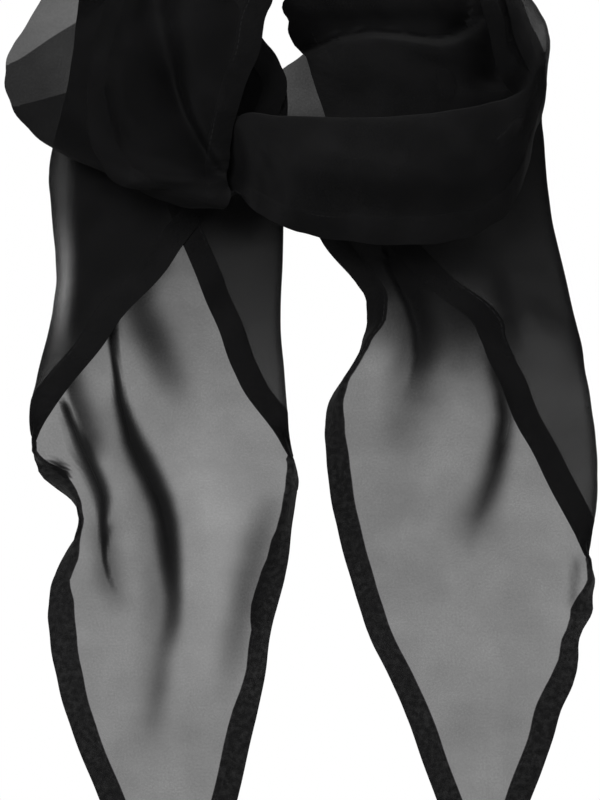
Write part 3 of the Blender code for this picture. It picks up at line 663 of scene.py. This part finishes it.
# Left tail: off the neck at the left side and down in front, with both edges turned in.
leftTail = {
    **plainStrand,
    "node": "left_tail", "flat": (0.2, 0.5), "area": 0.065,
    "drops": np.r_[54, 60:448:4, 448.5],
    "seam": (1, 0.55, 0.5),
    "still": (2, 2, 0.25, 0, 0.12, 0),
    "top": (
        (-66, -14, -28, -64, -18, -8, -57, -18, 11, 0.6, 0.52),
        (-73, -31, -38, -64, -37, -22, -49, -38, -6, 0.7, 0.6),
        (-75, -40, -45, -58, -51, -38, -33, -53, -30, 0.82, 0.7),
    ),
    "left": (
        (54, -79.5), (66, -81), (78, -82.5), (98, -86.5), (114, -90.4), (122, -91.6), (134, -91.2),
        (146, -90), (160, -89), (174, -89.6), (186, -91.8), (197, -95), (207.6, -97.6), (222, -100),
        (232, -99.4), (239.6, -98), (246, -93.8), (251, -88.8), (255, -84.2), (259, -81.8), (265, -81.2),
        (270, -83.6), (275, -86.2), (282, -89.4), (294.8, -92.2), (307, -91.8), (324, -89.2), (344, -84),
        (370, -74), (410, -58.5), (449, -44.6),
    ),
    "right": (
        (54, -19), (62, -13), (70, -7), (81, 0.5), (90, 2.4), (101, 2.8), (122, 2), (145, 1.2), (160, 1),
        (178, 0), (202, 1.6), (218, 2.8), (230, 3.8), (240, 6), (244, 6.8), (254, 6), (264, 4.4), (284, 2),
        (294, -0.4), (306, -3.6), (324, -6), (334, -8), (350, -11.6), (374, -17.2), (412, -29), (449, -41.6),
    ),
    "depth": (
        (54, -48, -62, -61), (98, -57, -66, -64), (134, -62, -68, -65), (180, -69, -74, -69),
        (240, -73, -79, -74), (300, -74, -81, -76), (450, -76, -77, -76),
    ),
    "flapA": (
        (54, -22), (70, -9), (100, -1), (120, -14), (153, -39.2), (168, -50), (176, -58), (183, -64),
        (191, -69.2), (210, -84.8), (220, -92), (232, -99.4),
    ),
    "flapB": (
        (54, -70), (78, -68), (100, -62), (125, -50), (152, -38.9), (162, -34.6), (174, -30), (186, -24.6),
        (198, -20.6), (204, -18), (210, -15), (216, -10.9), (222, -6), (233, 1.2), (242, 6.4),
    ),
    "dense": (
        (54, 2.2, 2.2), (110, 2, 2.1), (122, 2, 2.1), (136, 1.9, 2), (146, 1.6, 1.75), (156, 1.4, 1.45),
        (170, 1.3, 1.3), (190, 1.15, 1.2), (210, 1.05, 1.05), (250, 1, 0.96), (330, 1, 1), (450, 1.1, 1.1),
    ),
    "tucks": (
        {"first": 46, "overlap": 5, "line": (
            (54, -60, 0), (150, -68, 0), (178, -70, 0), (186, -69.6, 0.2), (206, -66.6, 0.4),
            (222, -62.6, 0.4), (230, -60.4, 0.4), (238, -57, 0.4), (246, -53.2, 0.4), (254, -49.6, 0.35),
            (262, -47.4, 0.3), (278, -44.8, 0.25), (294, -43, 0.1), (302, -43, 0), (326, -47, 0),
            (372, -45, 0), (450, -43, 0))},
        {"first": 12, "overlap": 3, "line": (
            (54, -72, 0), (150, -84, 0), (202, -89, 0), (214, -87, 0.2), (222, -84.2, 0.4), (230, -80.6, 0.4),
            (238, -77, 0.4), (246, -73.6, 0.4), (254, -71, 0.3), (262, -70.8, 0.2), (274, -70.2, 0),
            (300, -70, 0), (372, -60, 0), (450, -44.2, 0))},
    ),
    # how much of each bare hem shows, the rest turned back
    "shownA": (
        (224, 2.4), (234, 2), (236, 3.2), (238, 4.8), (240, 7), (242, 10.5), (246, 10.5), (250, 8.4),
        (254, 5.2), (258, 2.8), (266, 2), (270, 3.4), (274, 5.6), (278, 7), (286, 7), (290, 8.4), (294, 9.8),
        (300, 10.5),
    ),
    "shownB": (
        (230, 3), (238, 2.2), (242, 3.6), (246, 4.8), (258, 4.8), (266, 5.6), (270, 7.2), (278, 8.4),
        (282, 9.6), (290, 10.4), (296, 10.4), (302, 9), (306, 7.6), (322, 7.8), (330, 8.8), (338, 10.2),
        (344, 10.5),
    ),
    "main": 110, "runA": 26, "runB": 22, "pliesA": 2,
    "creases": (
        pleat(width=4.2, gather=3, power=2.4, ends=(0, 0.38), line=(
            (-67.4, 182, 0.5), (-67, 190, 0.4), (-66.4, 198, 0.3), (-65.4, 206, 0.32), (-64.2, 214, 0.5),
            (-61.9, 222, 0.65), (-59.2, 230, 0.85), (-55.3, 238), (-51.5, 246), (-48.1, 254),
            (-45.8, 262, 0.95), (-44.8, 270, 0.95), (-44, 278, 0.9), (-43.2, 286, 0.8), (-42.6, 293, 0.75),
            (-43, 302, 0.75), (-44.6, 310, 0.8), (-46, 320, 0.8))),
        pleat(width=3.8, gather=0.45, ends=(0.3, 0.5), line=(
            (-43, 286), (-43.6, 302), (-46, 313), (-48, 326), (-50.5, 344), (-52, 356))),
        pleat(width=6, gather=0.2, line=((-50, 270), (-50, 300), (-51, 330), (-53, 356))),
        pleat(width=5, gather=0.6, line=((-60, 174), (-51, 163), (-43, 154))),
        pleat(width=8, gather=0.28, rise=0.8, lean=0.5, ends=(0.2, 0.4), line=(
            (-67, 204), (-64, 222), (-59, 240), (-52, 256), (-49, 274), (-47, 290), (-49, 316))),
        pleat(width=3.1, gather=2.4, power=2.6, ends=(0.05, 0.3), line=(
            (-87.6, 213, 0.3), (-85.6, 218, 0.5), (-84.4, 222, 0.6), (-82.4, 226, 0.7), (-80.6, 230, 0.85),
            (-78.8, 234), (-77.2, 238), (-75.4, 242), (-73.6, 246), (-72, 250), (-71, 254, 0.9),
            (-70.8, 258, 0.7), (-70.8, 262, 0.5), (-70.4, 270, 0.4), (-70, 278, 0.3), (-68.8, 284, 0.25),
            (-66.8, 289, 0.25), (-63.6, 293, 0.25))),
        pleat(width=1.1, gather=1.3, ends=(0, 0.35), lean=5, line=(
            (-85.4, 205), (-83.2, 213), (-80.8, 219), (-78.8, 225), (-76.6, 232), (-73, 242))),
        pleat(width=1.2, gather=1, ends=(0.4, 0.4), line=((-67.4, 262), (-69, 268), (-70.4, 275))),
        pleat(width=1.2, gather=4, ends=(0.5, 0), line=((-90.6, 237.6), (-88.4, 240.2), (-86.2, 243.6))),
        pleat(width=5, gather=0.6, ends=(0.4, 0.5), line=((-71, 254), (-70, 272), (-68.5, 286), (-63, 302))),
        pleat(rise=-2.2, width=6.5, gather=1.35, ends=(0, 0.8), line=(
            (-58, 172), (-53.4, 184), (-48.4, 195), (-42.6, 208), (-36, 223))),
        pleat(width=13, gather=-0.13, line=((-30, 212), (-27, 246), (-26, 290), (-28, 350))),
        pleat(rise=-1.6, width=6, gather=0.65, ends=(0.3, 0.5), line=(
            (1, 244), (-6, 262), (-11.5, 282), (-16, 304), (-20.5, 324), (-25.5, 344))),
        crease(rise=1.6, width=8, line=((-88, 120), (-84, 160), (-90, 200))),
        crease(width=18, gather=2.2, ply=-1, power=8, ends=(0, 0.2), line=(
            (-64, 104), (-64, 168), (-68, 204))),
        crease(width=7.5, gather=-0.8, power=7, ends=(0.02, 0.38), line=(
            (-88.5, 112), (-87.5, 138), (-87.5, 156), (-88, 170), (-90, 184), (-93, 202))),
        # painted shade under the cowl: the cloth is made denser, and so darker, along this line, with no fold
        # of its own
        pleat(width=9, gather=1.4, line=((-44, 140), (-26, 137), (-8, 138), (0, 142))),
    ),
    "waves": ((0.5, 61, 170, 0.4), (0.35, 33, -120, 2), (0.2, 19, 90, 1.1)),
}

# Right tail: a single ply from its bare left hem, its right edge turned in.
rightTail = {
    **plainStrand,
    "node": "right_tail", "flat": (0.2, 0.5), "area": 0.055,
    "drops": np.r_[54, 60:424:4, 424.5],
    "seam": (-1, 0, 0.6),
    "still": (1.6, 2.6, 0.5, 0),
    "top": (
        (58, -18, 11, 67, -18, -8, 70, -14, -28, 0, 0.66),
        (47, -40, -8, 66, -38, -24, 77, -30, -40, 0, 0.76),
        (22, -55, -34, 60, -54, -42, 83, -38, -49, 0, 0.86),
    ),
    "left": (
        (54, 5), (64, 6), (70, 8), (74, 9.8), (77.5, 4.6), (81, 0.8), (92, 0.4), (101, 1), (118, 4), (136, 9),
        (149.2, 16), (161.2, 26.4), (167.2, 31.6), (178, 35.4), (188, 34.2), (198, 30.4), (206, 25.4),
        (214, 21), (222, 19.4), (234, 19.4), (246, 20.4), (265, 23.8), (283.6, 28.6), (298, 32.8),
        (308.8, 36.4), (318.8, 41.2), (328.4, 45.6), (342.4, 51.2), (358.8, 56.8), (372.4, 62), (400, 72),
        (425, 79.6),
    ),
    "right": (
        (54, 92), (68, 99), (81, 103), (92, 105.2), (101, 104.2), (110, 105), (120, 105.8), (134, 107.4),
        (152, 110.4), (170, 114.6), (184, 117.6), (200, 121.2), (218, 124.4), (232, 126), (244, 126.4),
        (258, 126), (272, 124.4), (280, 125.6), (284, 126.8), (294, 125.6), (300, 125), (304.5, 122.8),
        (309, 120.8), (318, 120), (327.6, 117.2), (336.4, 113.2), (348, 110), (359, 106), (374, 100.4),
        (400, 92), (425, 83.4),
    ),
    "depth": (
        (54, -60, -66, -46), (81, -57, -67, -53), (101, -58, -68, -56), (134, -64, -72, -62),
        (180, -70, -78, -68), (240, -73, -82, -72), (300, -75, -82, -75), (426, -76, -77, -76),
    ),
    "flapA": (),
    "flapB": (
        (54, 1.8), (57, 3.3), (60, 4.2), (64, 4), (69, 6.3), (75, 9.8), (84, 13), (96, 17), (128, 30),
        (159, 50), (174, 66), (180, 74), (188, 79), (198, 83), (206, 87), (224, 94.4), (234, 100), (246, 106),
        (257, 111.6), (266, 116.4), (279.6, 125.4),
    ),
    "dense": (
        (54, 1.95, 3.2), (96, 2, 2.5), (124, 2.6, 1.9), (150, 2.6, 1.5), (160, 2.4, 1.5), (168, 1.5, 1.5),
        (176, 1.05, 1.4), (190, 1.05, 1.2), (210, 1.08, 1.08), (260, 1.1, 1.02), (300, 1.02, 1),
        (426, 1.06, 1.06),
    ),
    "tucks": (
        {"first": 40, "overlap": 3, "line": (
            (54, 60, 0), (204, 89, 0), (212, 91.5, 0.25), (222, 92.5, 0.5), (234, 89, 0.4), (246, 84, 0.2),
            (262, 81, 0), (280, 80.5, 0), (330, 80.5, 0), (380, 81, 0), (426, 81.5, 0))},
    ),
    "main": 84, "runB": 30,
    "shownA": (
        (150, 10.5), (166, 9), (174, 7.6), (178, 7.2), (182, 6.5), (186, 4.8), (190, 2.8), (196, 2.2),
        (206, 2.4), (210, 4), (214, 4.8), (222, 6.8), (230, 7.6), (238, 8.4), (290, 8.6), (300, 8.8),
        (314, 9.2), (334, 10), (344, 10.5),
    ),
    "shownB": (
        (270, 3.2), (274, 3.2), (278, 2.4), (282, 3.6), (286, 4.4), (290, 6), (294, 7.6), (298, 9.4),
        (302, 8.4), (306, 7.2), (310, 7.6), (314, 8), (318, 8.8), (322, 10), (328, 10.5),
    ),
    "hemFromA": 110,
    "creases": (
        # the valley beside the bare hem and the arch that shades the top
        pleat(rise=-3.2, width=1.3, lean=5.5, gather=1.9, ends=(0, 0.5), line=(
            (43, 158), (46, 166), (51, 176), (54.2, 186), (54.6, 196), (53.4, 204), (51.4, 211),
            (48.6, 217))),
        pleat(width=8.5, gather=0.36, ends=(0.3, 0.45), line=((57, 202), (54, 213), (48, 226), (41, 240))),
        pleat(width=42.5, gather=3, power=3, open=True, ends=(0, 0), line=((57, 150), (90, 150))),
        pleat(width=7.5, gather=-0.65, power=3, ends=(0.3, 0.45), line=(
            (40, 158), (44, 171), (44, 184), (39.5, 196), (31, 214))),
        pleat(rise=2.4, width=6, line=((66, 176), (69, 190), (64, 216))),
        crease(rise=1.8, width=7, line=((88, 262), (86, 300), (84, 350))),
        pleat(rise=-1, width=1.7, gather=0.45, line=((119.4, 274), (117.8, 286), (117, 300))),
        pleat(rise=-1.6, width=5.5, gather=2.3, lean=0.8, power=1.5, ends=(0.2, 0.55), line=(
            (81, 189, 0.6), (85.8, 200, 0.5), (88.8, 210, 0.5), (90.4, 221, 0.56), (88.7, 232, 0.64),
            (86.5, 242, 0.7), (83.8, 250, 0.78), (80.4, 258, 0.95), (76.6, 268, 1.25), (73, 280, 1.6))),
        crease(width=4.2, gather=1.1, ply=1, ends=(0.3, 0.5), line=(
            (84, 158), (88.5, 168), (91, 180), (92.5, 190), (94.5, 204))),
        crease(rise=1.2, width=5, gather=0.5, ply=1, line=((88, 169), (116, 186), (124, 206))),
        crease(gather=3, width=60, power=8, ply=1, ends=(0, 0), line=((40, 20), (40, 56))),
        # the top edge of the inner fold, with the shaded hollow behind it
        crease(hollow=20, width=34, lean=0.09, ends=(0, 0), line=(
            (77, 40, 2.2), (77, 50, 2.2), (76, 57, 1.9), (74, 62.5, 1.4), (70, 66.1), (64, 67.3), (56, 66.1),
            (48, 64.5), (36, 63.7), (22, 66), (9, 73.5), (-8, 85))),
        crease(hollow=13, width=9, ends=(0.25, 0.2), line=((82, 54), (86, 72), (87, 92))),
    ),
    "waves": ((0.5, 57, 160, 1.4), (0.35, 31, -130, 0.3), (0.2, 17, 80, 2.1)),
}

# Left cowl: from the left side of the neck to the half twist. Edge a is the lower one, and the tuck is the
# knife fold whose lower ply runs out as the sheer wing.
leftCowl = {
    **plainStrand,
    "node": "cowl_left", "flat": (0.13, 0.22), "area": 0.022, "restsOn": ["leftTailCloth"],
    "tucks": ({"first": 30, "overlap": 10},),
    "main": 100, "side": -1, "hemA": False,
    "layerPart": 0.42,
    "layerOne": ((-108, 79.5), (-105, 78), (-82, 62.8), (-70, 55)),
    "layerTwo": ((-104, 96), (-101, 95.2), (-84, 90.8), (-70, 88)),
    "creases": (
        crease(hollow=7, width=8, lean=0.8, ends=(0, 0.5), line=(
            (-50, 38), (-49, 58), (-46, 78), (-41, 96), (-32, 110))),
        crease(hollow=5, width=7, lean=0.3, ends=(0.4, 0.12), line=(
            (-42, 66), (-42.5, 78), (-42, 88), (-38, 100), (-30, 115), (-21, 128))),
        crease(rise=3, width=8, line=((-62, 70), (-62, 92), (-56, 112), (-40, 126))),
        crease(gather=3, width=34, power=8, ends=(0, 0), line=((-22, 20), (-22, 140))),
    ),
    "waves": ((0.4, 47, 130, 0.9), (0.25, 23, -90, 1.7)),
}

# Right cowl: from the half twist across the front, round the right side and up to the neck.
rightCowl = {
    **plainStrand,
    "node": "cowl_right", "flat": (0.13, 0.3), "area": 0.0186, "restsOn": ["rightTailCloth"],
    "main": 64, "runA": 22,
    "creases": (
        crease(rise=-3, width=9, line=((0, 114), (26, 124), (60, 126), (88, 116))),
        crease(rise=2, width=8, line=((-8, 120), (14, 134), (50, 140), (84, 132))),
        crease(rise=-1.6, width=5, line=((60, 132), (80, 126), (92, 114))),
    ),
    "waves": ((0.5, 52, 110, 2.4), (0.25, 21, -70, 0.5)),
}

# The two bands that cross behind the neck.
nape = {
    **plainStrand,
    "flat": (0.07, 0.15), "area": 0.0075,
    "rise": 19,  # how far each band leaves the other behind the neck
    "height": 34,
    "rows": 13,
    "archPart": 0.4,  # part of the band over which it leaves the other
    "drawn": 0.4,
    "drawnFade": (0.8, 0.2),  # of the sine along the band
    "dense": 1.8,
    "tucks": ({"first": 14, "overlap": 3},),
    "main": 48, "runA": 12, "runB": 12, "seenFromFront": False,
    "waves": ((0.5, 41, 95, 0.2), (0.3, 19, -60, 1.9)),
}


def tailRows(tail):
    # given whole beside the neck, and read from the tables below it
    side, *flaps = tail["seam"]
    top = [*seamRows(side, ring["innerRadius"], *flaps), *tail["top"]]
    return np.vstack([[[*row, *tail["still"]] for row in top], hangingRows(tail, tail["drops"])])


def castRows(table):
    # rows in front of the neck stand in the outline plane: point + weight * (its place on the ray - point)
    rows = np.array(table, float)
    for point in (slice(0, 3), slice(3, 6), slice(6, 9)):
        x, y, z = rows[:, point].T
        weight = rising(-y, *ring["cast"])[:, None]
        rows[:, point] += (fromCamera(x, -z, y) - rows[:, point]) * weight
    return rows


def leftCowlRows():
    # a, middle, b, both densities and the tuck
    rows = [
        [-81, -10, -25, -79, -18, -5, -68, -20, 15, 1.3, 1.5, 0.42, 0.6],
        [-88, -26, -36, -80, -44, -20, -50, -56, 2, 1.2, 1.3, 0.42, 0.7],
        [-93, -38, -46, -66, -70, -34, -22, -76, -20, 1.5, 1.1, 0.4, 0.85],
        [-96, -46, -55, -52, -84, -52, -3, -85, -54, 1.5, 1, 0.385, 0.95],
        [-99, -49, -60, -53.5, -85, -57, -5.2, -85.6, -58.8, 1.5, 1, 0.39, 0.96],
        [-103, -54, -67, -56, -86.8, -65, -7, -86.4, -66.5, 1.5, 1, 0.4, 0.97],
        [-107, -58, -73, -58, -88, -72, -8, -87, -73, 1.5, 1, 0.41, 1],
        [-109.5, -64, -83, -60, -90, -82, -12, -87, -83, 1.5, 1, 0.405, 1],
        [-108, -68, -94, -60, -91, -95, -15.5, -88, -93, 1.5, 1, 0.39, 1],
        [-101, -72, -105, -58, -92, -108, -18, -88, -102, 1.4, 1, 0.36, 0.95],
        [-90, -76, -114, -54, -93, -118, -19.5, -88.5, -110, 1.3, 1.1, 0.33, 0.9],
        [-76, -80, -121, -47, -94, -124, -20.5, -89, -118, 1.1, 1.2, 0.27, 0.7],
        [-64, -82, -126, -40, -94, -128, -21, -89, -123, 1.2, 1.3, 0.25, 0.3],
        [-46, -84, -135, -32, -94, -133, -21, -90, -127, 1.4, 1.5, 0.3, 0],
        [-26, -82, -136, -22, -91, -137, -19, -93, -131, 1.8, 1.8, 0.4, 0],
    ]
    seam = seamRows(1, ring["outerRadius"], 0, 0, 1.4, 1.6, 0.44, 0.5)
    return castRows(seam + [[*row[:9], 0, 0, *row[9:]] for row in rows])


def rightCowlRows():
    # a, middle, b, the rolled top's part of the width and one density for both edges
    rows = [
        [-26, -82, -136, -22, -91, -137, -19, -93, -131, 0, 5.5],
        [-22.5, -82, -126, -18, -88.5, -130, -16, -94, -132.5, 0, 5.5],
        [-21.5, -82.5, -115, -14, -91, -126, -11.5, -95.5, -137, 0, 5.5],
        [-20.5, -84, -105, -10, -94.5, -123, -6.5, -97, -140.5, 0.16, 5.5],
        [-17, -86, -100.8, -5, -97, -123, 0.5, -98, -144, 0.3, 5.5],
        [-1, -88, -100, 5, -100, -124, 10, -98, -147.5, 0.46, 5.5],
        [28, -91, -101, 28, -102, -126, 28, -97, -150.5, 0.6, 5],
        [52, -91, -100, 52, -102, -126, 52, -95, -151.5, 0.6, 4.6],
        [68, -89, -98, 69, -99, -124, 70, -92, -149.5, 0.58, 4],
        [84, -86, -95, 84, -95, -120, 84, -89, -144, 0.55, 3.4],
        [94, -84, -91.5, 94, -91, -112, 93, -86, -135, 0.55, 1.9],
        [99.5, -82, -87, 99.5, -87, -104, 97.5, -82, -123, 0.6, 1.7],
        [103, -78, -81, 104, -80, -94, 101, -78, -108, 0.7, 1.8],
        [107.4, -72, -74, 107, -73, -84, 102.5, -72, -98, 0.76, 1.5],
        [107.6, -64, -67, 104, -67, -79, 96, -67, -94, 0.7, 1],
        [104.2, -57, -60, 97.5, -65, -72, 89, -69, -86, 0.62, 1],
        [99, -48, -53, 92.5, -61, -60, 84, -70, -68, 0.6, 1.1],
        [94, -36, -44, 88, -52, -46, 78, -64, -46, 0.56, 1.2],
        [87, -22, -35, 84, -34, -26, 75, -46, -16, 0.5, 1.3],
        [80, -5, -26, 79, -12, -6, 73, -18, 12, 0.44, 1.5],
    ]
    table = [[*row[:10], 0, row[10], row[10]] for row in rows]
    half = ring["halfHeight"]
    for key, flap in (("nextAngle", 0.42), ("seamAngle", 0.4)):
        table.append(ringRow(-ring[key], ring["outerRadius"], -half, half, flap, 0, 1.6, 1.6))
    return castRows(table)


def napeRows(side, start, end):
    # a band from left to right, off the other by side * rise * smooth(part / archPart); start and end are its
    # radius and flaps
    start, end = np.array(start), np.array(end)
    part = np.linspace(0, 1, nape["rows"])
    arch = smooth(np.minimum(part, 1 - part) / nape["archPart"])
    rows = []
    for at, bow in zip(part, arch):
        angle = ring["seamAngle"] + at * (360 - 2 * ring["seamAngle"])
        radius, *flaps = start + (end - start) * smooth(at)
        half = ring["halfHeight"] + (nape["height"] / 2 - ring["halfHeight"]) * bow
        middle = side * nape["rise"] * bow
        drawn = nape["drawn"] * rising(math.sin(math.pi * at), *nape["drawnFade"])
        rest = (nape["dense"], nape["dense"], 0.5, drawn)
        rows.append(ringRow(angle, radius, middle + half, middle - half, *flaps, *rest))
    return rows


upperNape = dict(nape, node="nape_upper", creases=(
    crease(rise=-1.4, width=4, line=((10, 12), (60, 22), (110, 14))),
    crease(rise=1.2, width=4, line=((30, 26), (80, 8), (130, 24))),
))
lowerNape = dict(nape, node="nape_lower", side=-1, creases=(
    crease(rise=1.3, width=4, line=((8, 20), (56, 10), (120, 22))),
    crease(rise=-1.4, width=4, line=((36, 8), (90, 24), (132, 12))),
))

print("strands")
blackChiffon = chiffonMaterial("blackChiffon")
inner, outer = ring["innerRadius"], ring["outerRadius"]
strands = (
    ("leftTail", tailRows(leftTail), leftTail),
    ("rightTail", tailRows(rightTail), rightTail),
    ("leftCowl", leftCowlRows(), leftCowl),
    ("rightCowl", rightCowlRows(), rightCowl),
    ("upperNape", napeRows(1, (inner, 0.5, 0.55), (outer, 0, 0.4)), upperNape),
    ("lowerNape", napeRows(-1, (outer, 0, 0), (inner, 0, 0.6)), lowerNape),
)
for strand in strands:
    addStrand(*strand, blackChiffon)


stage = {
    "drop": 500,
    "radius": 700,
    "spokes": 96,
    "finish": {"Base Color": (0.86, 0.86, 0.85, 1.0), "Roughness": 0.8},
}


def addFloor():
    # one flat disc: radius times (cos, sin) of each spoke's angle
    angles = np.linspace(0, 2 * math.pi, stage["spokes"] + 1)[:-1]
    circle = np.stack([np.cos(angles), np.sin(angles), np.zeros(stage["spokes"])], axis=1) * stage["radius"]
    circle[:, 2] = -stage["drop"]
    mesh = bpy.data.meshes.new("floor")
    mesh.from_pydata((circle * mm).tolist(), [], [tuple(range(stage["spokes"]))])
    material, _, shader = newMaterial("paleFloor")
    feed(shader, stage["finish"])
    mesh.materials.append(material)
    addObject("floor", mesh)


studio = {
    "aim": (0.0, -0.08, -0.2),  # the cowl, in metres
    "lights": (
        # name, place, size and power
        ("keyLight", (-0.8, -1.7, 0.8), 1.2, 33.0),
        ("fillLight", (1.3, -1.6, 0.2), 1.4, 6.0),
        ("topLight", (0.2, 0.3, 1.5), 1.0, 11.0),
    ),
    "room": {"To Min": 0.3, "To Max": 1.0},  # strength as light, and as the camera sees it
    "white": (1.0, 1.0, 1.0, 1.0),
}


def addLights():
    # every lamp looks along aim - place
    for name, place, size, power in studio["lights"]:
        data = bpy.data.lights.new(name, "AREA")
        data.size = size
        data.energy = power
        lamp = addObject(name, data)
        lamp.location = place
        lamp.rotation_mode = "QUATERNION"
        lamp.rotation_quaternion = (Vector(studio["aim"]) - Vector(place)).to_track_quat("-Z", "Y")
    # the room is white to the camera and softer as light
    world = bpy.data.worlds.new("studio")
    world.use_nodes = True
    tree = world.node_tree
    seen = addNode(tree, "LightPath").outputs["Is Camera Ray"]
    strength = addNode(tree, "MapRange", {**studio["room"], "Value": seen}).outputs["Result"]
    feed(tree.nodes["Background"], {"Color": studio["white"], "Strength": strength})
    bpy.context.scene.world = world


def addCamera():
    # level, looking along +Y
    data = bpy.data.cameras.new("camera")
    data.lens = view["lens"]
    data.sensor_width = view["sensor"]
    data.clip_end = view["clipEnd"]
    camera = addObject("camera", data)
    camera.location = [value * mm for value in view["place"]]
    camera.rotation_euler = (math.pi / 2, 0, 0)
    bpy.context.scene.camera = camera


addFloor()
addLights()
addCamera()
bpy.context.scene.view_settings.view_transform = "Standard"
print("stage, lights and camera")
